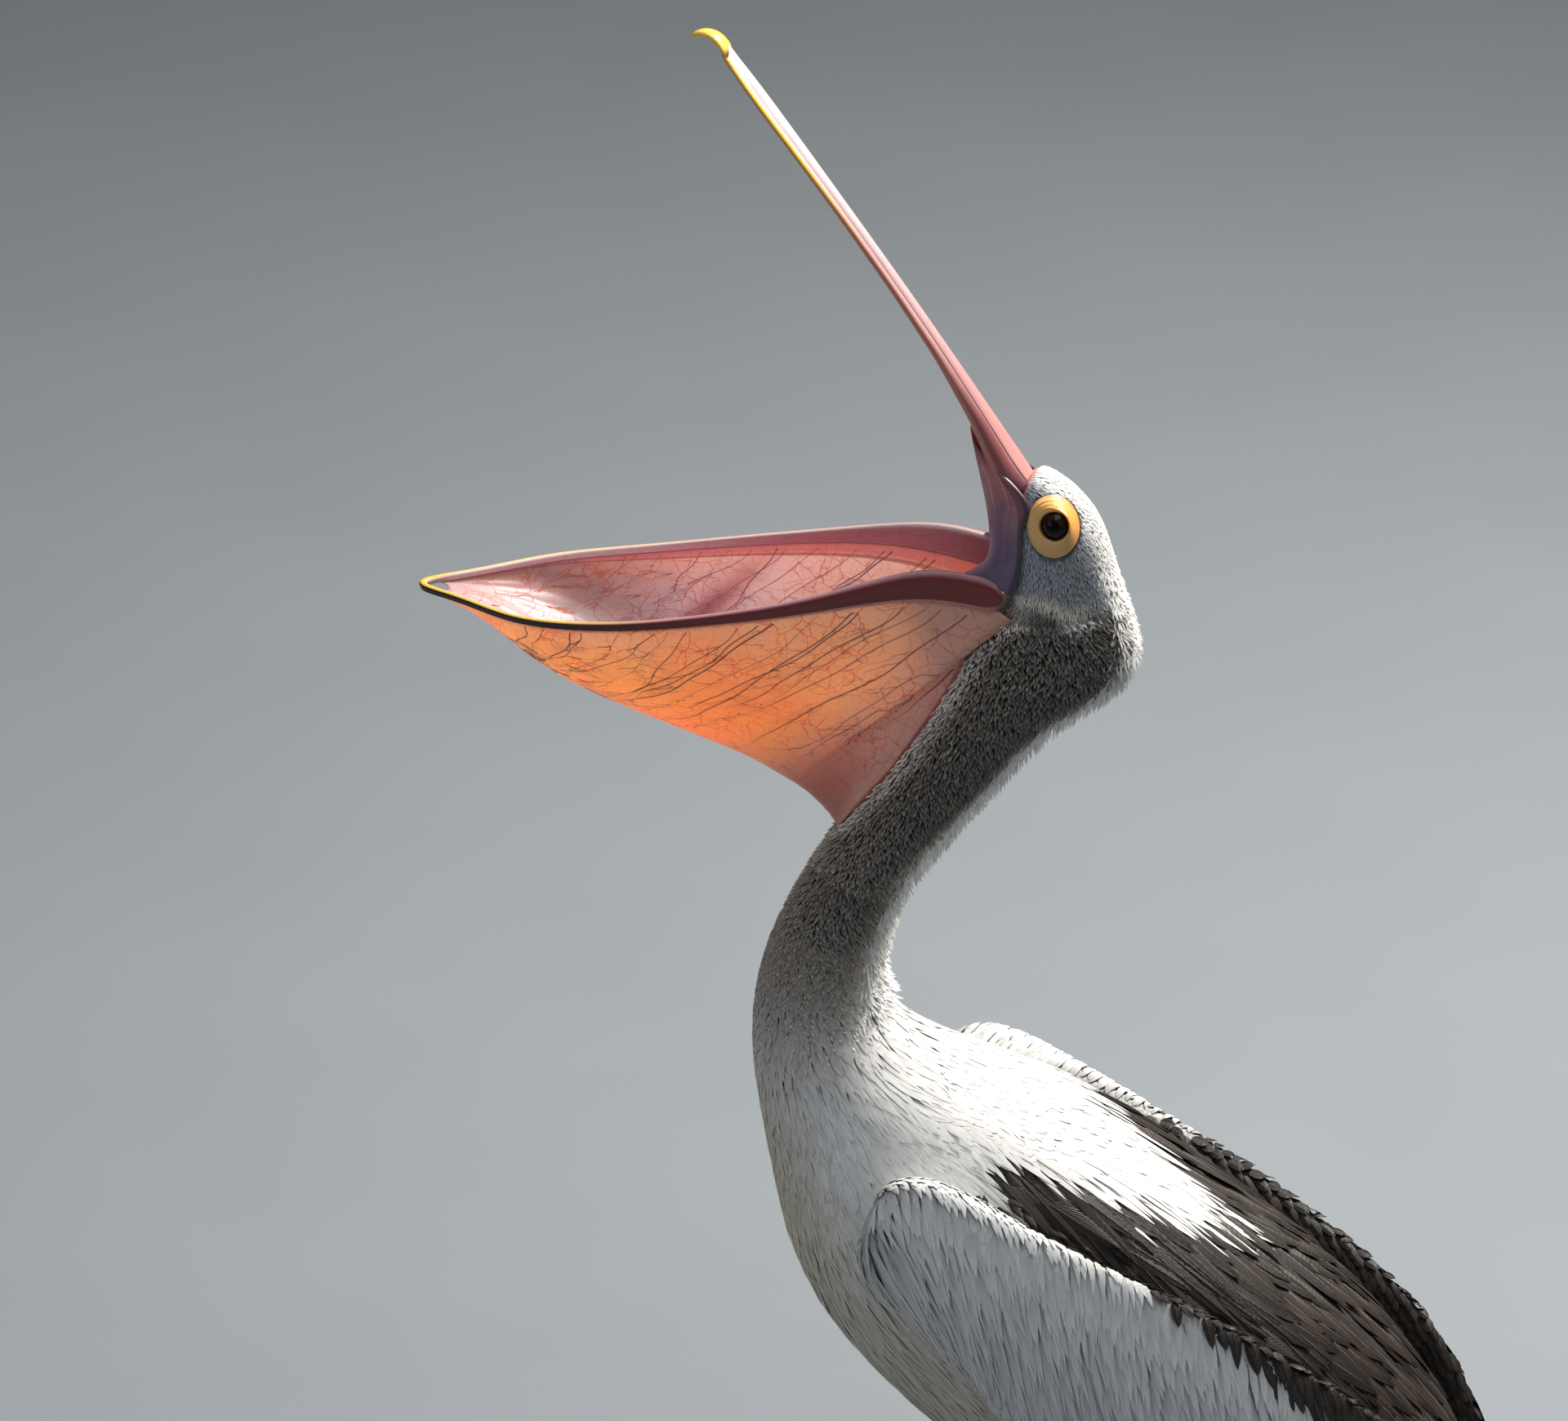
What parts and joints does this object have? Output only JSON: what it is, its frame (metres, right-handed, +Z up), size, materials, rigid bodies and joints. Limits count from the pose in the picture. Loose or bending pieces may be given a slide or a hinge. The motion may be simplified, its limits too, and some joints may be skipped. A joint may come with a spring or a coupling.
{
  "type": "standing pelican model",
  "caption": "Life-size still model of a white and black pelican standing with its neck drawn back, its long bill wide open and its skin pouch stretched between the bars of the lower jaw.",
  "frame": {"origin": "on the floor, under the middle of the whole model's box", "axes": "+Z up along the longest side, -Y the way the bird faces, +X towards its left wing along the shortest side"},
  "size_m": [0.2922, 0.8928, 1.3683],
  "materials": {
    "face_plumage": "short flat silky feathers, white on the crown and bluish grey on the face",
    "neck_plumage": "dense dark grey-brown plush with a white fringe down the nape",
    "body_plumage": "long silky white feathers, black scapulars on the back",
    "wing_coverts": "drooping white lance-shaped coverts",
    "flight_feathers": "brownish-black vanes with pale shafts",
    "tail_feathers": "black tail feathers under white coverts",
    "bill_horn": "satin pink horn, maroon at the base and yellow along the outer edge",
    "nail_horn": "satin yellow horn",
    "jaw_horn": "satin maroon horn with a pale upper edge",
    "pouch_skin": "thin translucent salmon-orange skin with dark red veins",
    "gape_skin": "matt purple-blue skin",
    "orbital_skin": "bare cream-yellow skin with a dark rim",
    "eye": "wet dark brown, almost black",
    "thigh_plumage": "short white feathers",
    "leg_skin": "slate blue-grey scaly skin",
    "claw_horn": "dark horn"
  },
  "bodies": {
    "root": {"head": "face_plumage", "neck_upper": "neck_plumage", "neck_middle": "neck_plumage", "neck_lower": "body_plumage", "breast": "body_plumage", "trunk": "body_plumage", "tail": "tail_feathers", "bill_upper": "bill_horn", "bill_nail": "nail_horn", "jaw_left": "jaw_horn", "jaw_right": "jaw_horn", "jaw_tip": "nail_horn", "pouch": "pouch_skin", "wing_arm_left": "wing_coverts", "wing_secondaries_left": "flight_feathers", "wing_primaries_left": "flight_feathers", "gape_left": "gape_skin", "orbital_ring_left": "orbital_skin", "eye_left": "eye", "thigh_left": "thigh_plumage", "tarsus_left": "leg_skin", "foot_left": "leg_skin", "claw_left_1": "claw_horn", "claw_left_2": "claw_horn", "claw_left_3": "claw_horn", "claw_left_4": "claw_horn", "wing_arm_right": "wing_coverts", "wing_secondaries_right": "flight_feathers", "wing_primaries_right": "flight_feathers", "gape_right": "gape_skin", "orbital_ring_right": "orbital_skin", "eye_right": "eye", "thigh_right": "thigh_plumage", "tarsus_right": "leg_skin", "foot_right": "leg_skin", "claw_right_1": "claw_horn", "claw_right_2": "claw_horn", "claw_right_3": "claw_horn", "claw_right_4": "claw_horn"}
  },
  "joints": []
}
